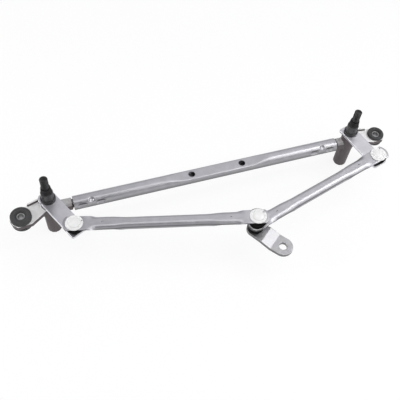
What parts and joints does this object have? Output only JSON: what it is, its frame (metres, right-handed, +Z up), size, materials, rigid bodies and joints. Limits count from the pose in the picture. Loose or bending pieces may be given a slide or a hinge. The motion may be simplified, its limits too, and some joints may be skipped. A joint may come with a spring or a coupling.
{
  "type": "wiper linkage",
  "caption": "Windscreen wiper linkage: a cross tube carries pivot housings whose spindles and levers are driven through ball-jointed pressed rods by an offset motor crank.",
  "frame": {"origin": "midway between the motor mounting holes, on the flat of the cross tube", "axes": "+X along the tube from the left spindle to the right one as pictured, +Y to the rear, +Z up along the spindles"},
  "size_m": [0.623, 0.1929, 0.1276],
  "materials": {
    "zinc_steel": "bright zinc plate, satin",
    "cast_alloy": "as die cast",
    "bearing_bronze": "sintered",
    "black_rubber": "moulded, matt",
    "dark_steel": "black phosphate, oiled",
    "white_plastic": "natural acetal, slightly glossy"
  },
  "bodies": {
    "frame": {"frame_tube": "zinc_steel", "left_housing": "cast_alloy", "right_housing": "cast_alloy", "left_upper_bush": "bearing_bronze", "left_lower_bush": "bearing_bronze", "right_upper_bush": "bearing_bronze", "right_lower_bush": "bearing_bronze", "left_seal_ring": "black_rubber", "right_seal_ring": "black_rubber", "left_thrust_washer": "zinc_steel", "right_thrust_washer": "zinc_steel", "left_lower_washer": "zinc_steel", "right_lower_washer": "zinc_steel", "left_grommet": "black_rubber", "right_grommet": "black_rubber", "left_sleeve": "zinc_steel", "right_sleeve": "zinc_steel"},
    "left_arm": {"left_spindle": "dark_steel", "left_lever": "zinc_steel", "left_ball_pin": "zinc_steel", "left_circlip": "dark_steel"},
    "right_arm": {"right_spindle": "dark_steel", "right_lever": "zinc_steel", "right_ball_pin": "zinc_steel", "right_circlip": "dark_steel"},
    "left_link": {"left_rod": "zinc_steel", "left_rod_outer_socket": "white_plastic", "left_rod_inner_socket": "white_plastic", "left_rod_outer_boot": "black_rubber", "left_rod_inner_boot": "black_rubber"},
    "right_link": {"right_rod": "zinc_steel", "right_rod_outer_socket": "white_plastic", "right_rod_inner_socket": "white_plastic", "right_rod_outer_boot": "black_rubber", "right_rod_inner_boot": "black_rubber"},
    "crank_arm": {"motor_crank": "zinc_steel", "crank_pin": "zinc_steel"}
  },
  "joints": [
    {"name": "left_spindle_turn", "type": "hinge", "parent": "frame", "child": "left_arm", "pos_m": [-0.2655, 0, 0.0182], "axis": [0, 0, 1], "range_deg": [-65, 15]},
    {"name": "right_spindle_turn", "type": "hinge", "parent": "frame", "child": "right_arm", "pos_m": [0.2345, 0, 0.0182], "axis": [0, 0, 1], "range_deg": [-64, 15]},
    {"name": "left_rod_swing", "type": "hinge", "parent": "left_arm", "child": "left_link", "pos_m": [-0.23803, -0.05891, 0.0267], "axis": [0, 0, 1], "range_deg": [-16, 68]},
    {"name": "right_rod_swing", "type": "hinge", "parent": "right_arm", "child": "right_link", "pos_m": [0.25132, -0.06278, 0.0267], "axis": [0, 0, 1], "range_deg": [-15, 65]},
    {"name": "crank_turn", "type": "hinge", "parent": "left_link", "child": "crank_arm", "pos_m": [0.019, -0.123, 0.0323], "axis": [0, 0, 1], "continuous": true}
  ],
  "couplings": [
    {"joint": "right_spindle_turn", "follows": "left_spindle_turn", "ratio": 0.98266},
    {"joint": "left_rod_swing", "follows": "left_spindle_turn", "ratio": -1.0331},
    {"joint": "right_rod_swing", "follows": "left_spindle_turn", "ratio": -0.98789}
  ]
}
